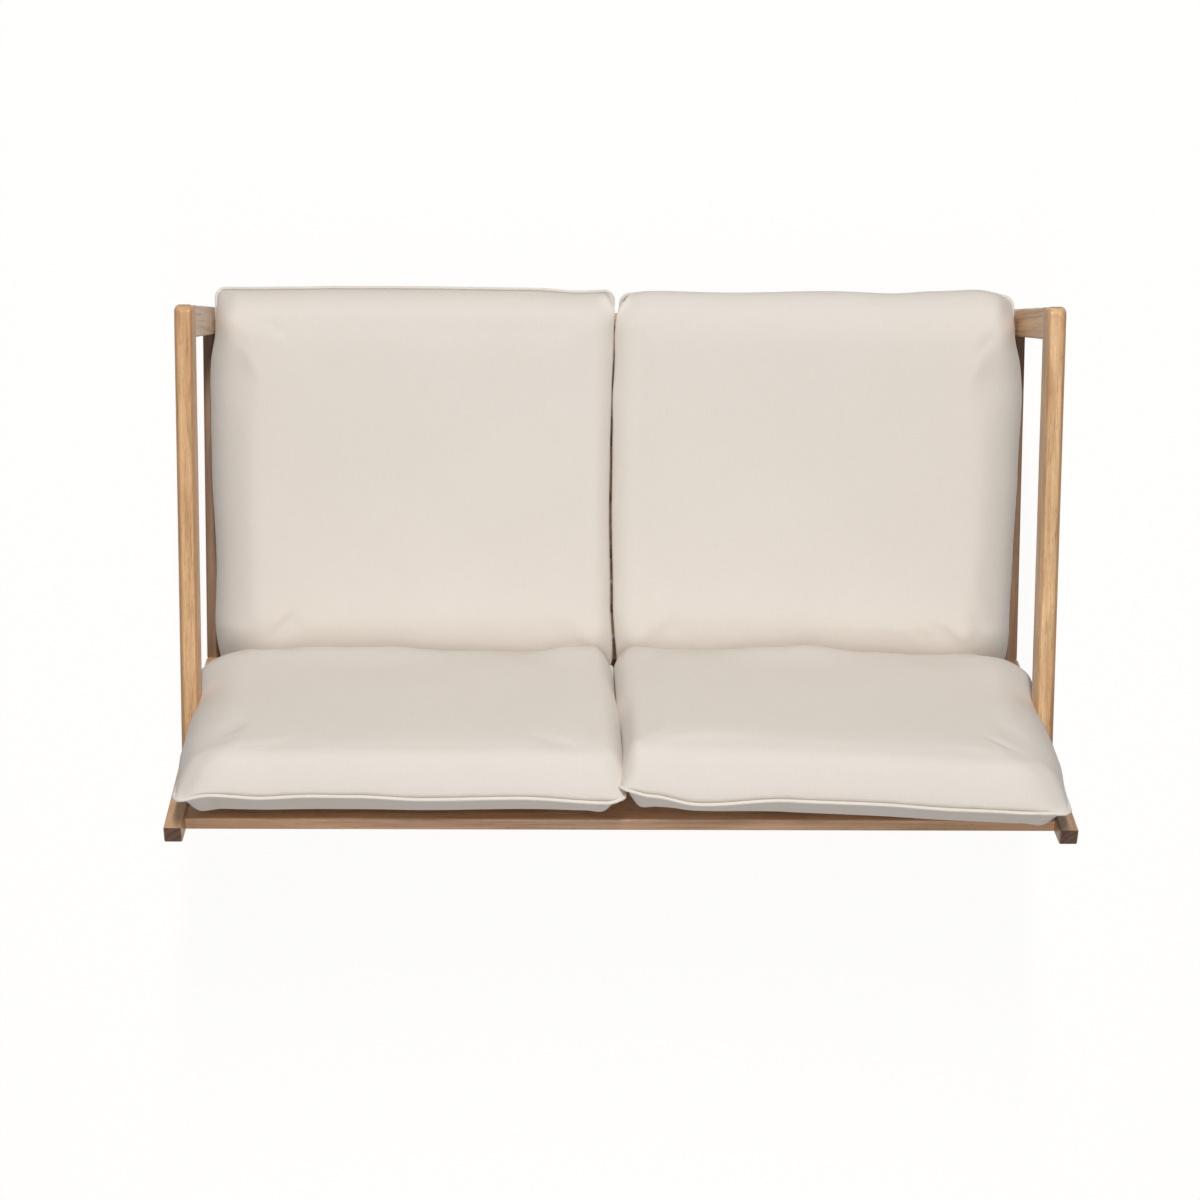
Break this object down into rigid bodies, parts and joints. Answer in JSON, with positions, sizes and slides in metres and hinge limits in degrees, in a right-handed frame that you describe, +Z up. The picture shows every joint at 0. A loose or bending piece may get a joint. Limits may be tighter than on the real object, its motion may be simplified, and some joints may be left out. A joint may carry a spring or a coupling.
{
  "type": "patio loveseat",
  "caption": "Two-seat outdoor loveseat: slim raked wooden frame with slatted seat and back, and loose welted cushions.",
  "frame": {"origin": "on the floor, in the middle of the loveseat's width and depth", "axes": "+X to the sitter's left along the width, -Y to the front, +Z up"},
  "size_m": [1.36, 0.8398, 0.8213],
  "materials": {
    "frame_wood": "oiled golden brown hardwood",
    "slat_wood": "oiled golden brown hardwood",
    "dowel_wood": "bare beech",
    "bolt_steel": "zinc plated",
    "screw_steel": "stainless",
    "glide_plastic": "moulded nylon",
    "cushion_fabric": "fine plain weave, cool beige",
    "welt_fabric": "the cover's cloth on a cord",
    "foam": "open-cell foam"
  },
  "bodies": {
    "frame": {"arm_left": "frame_wood", "arm_right": "frame_wood", "front_leg_left": "frame_wood", "front_leg_right": "frame_wood", "back_post_left": "frame_wood", "back_post_right": "frame_wood", "side_rail_left": "frame_wood", "side_rail_right": "frame_wood", "front_rail": "frame_wood", "rear_seat_rail": "frame_wood", "centre_support": "frame_wood", "seat_ledger_left": "frame_wood", "seat_ledger_right": "frame_wood", "top_back_rail": "frame_wood", "lower_back_rail": "frame_wood", "seat_slat_1": "slat_wood", "seat_slat_2": "slat_wood", "seat_slat_3": "slat_wood", "seat_slat_4": "slat_wood", "seat_slat_5": "slat_wood", "seat_slat_6": "slat_wood", "back_slat_1": "slat_wood", "back_slat_2": "slat_wood", "back_slat_3": "slat_wood", "back_slat_4": "slat_wood", "back_slat_5": "slat_wood", "back_slat_6": "slat_wood", "back_slat_7": "slat_wood", "back_slat_8": "slat_wood", "back_slat_9": "slat_wood", "back_slat_10": "slat_wood", "back_slat_11": "slat_wood", "frame_dowels": "dowel_wood", "frame_bolts": "bolt_steel", "barrel_nuts": "bolt_steel", "slat_screws": "screw_steel", "ledger_screws": "screw_steel", "foot_glides": "glide_plastic"},
    "seat_cushion_left": {"seat_cover_left": "cushion_fabric", "seat_foam_left": "foam", "seat_welt_left": "welt_fabric"},
    "seat_cushion_right": {"seat_cover_right": "cushion_fabric", "seat_foam_right": "foam", "seat_welt_right": "welt_fabric"},
    "back_cushion_left": {"back_cover_left": "cushion_fabric", "back_foam_left": "foam", "back_welt_left": "welt_fabric"},
    "back_cushion_right": {"back_cover_right": "cushion_fabric", "back_foam_right": "foam", "back_welt_right": "welt_fabric"}
  },
  "joints": [
    {"name": "seat_cushion_left_out", "type": "slide", "parent": "frame", "child": "seat_cushion_left", "axis": [0, -0.9986, 0.0523], "range_m": [0, 0.66]},
    {"name": "seat_cushion_right_out", "type": "slide", "parent": "frame", "child": "seat_cushion_right", "axis": [0, -0.9986, 0.0523], "range_m": [0, 0.66]},
    {"name": "back_cushion_left_up", "type": "slide", "parent": "frame", "child": "back_cushion_left", "axis": [0, 0.3923, 0.9198], "range_m": [0, 0.5]},
    {"name": "back_cushion_right_up", "type": "slide", "parent": "frame", "child": "back_cushion_right", "axis": [0, 0.3923, 0.9198], "range_m": [0, 0.5]}
  ]
}
